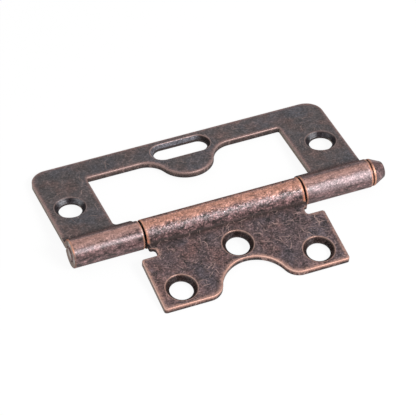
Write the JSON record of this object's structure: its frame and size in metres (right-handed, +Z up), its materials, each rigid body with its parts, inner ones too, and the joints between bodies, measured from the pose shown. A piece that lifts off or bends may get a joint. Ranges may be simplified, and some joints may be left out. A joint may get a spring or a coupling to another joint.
{
  "type": "non-mortise hinge",
  "caption": "Stamped non-mortise hinge: a notched inner leaf nests in the window of an outer leaf and turns on a bullet-tipped pin; countersunk holes, antique-copper finish.",
  "frame": {"origin": "middle of the hinge's footprint, on the surface it lies on", "axes": "+X along the pin towards its bullet tip, +Y towards the outer leaf's far edge, +Z up from the surface, countersunk faces up"},
  "size_m": [0.0804, 0.054, 0.0071],
  "materials": {
    "leaf": "antique-copper plate, dark, with bright copper on worn edges",
    "pin": "antique-copper plate, dark, with bright copper on worn edges"
  },
  "bodies": {
    "frame_leaf": {"outer_leaf": "leaf", "hinge_pin": "pin"},
    "door_leaf": {"inner_leaf": "leaf"}
  },
  "joints": [
    {"name": "leaf_turn", "type": "hinge", "parent": "frame_leaf", "child": "door_leaf", "pos_m": [-0.00178, -0.00407, 0.00355], "axis": [1, 0, 0], "range_deg": [-192.15, 0]}
  ]
}
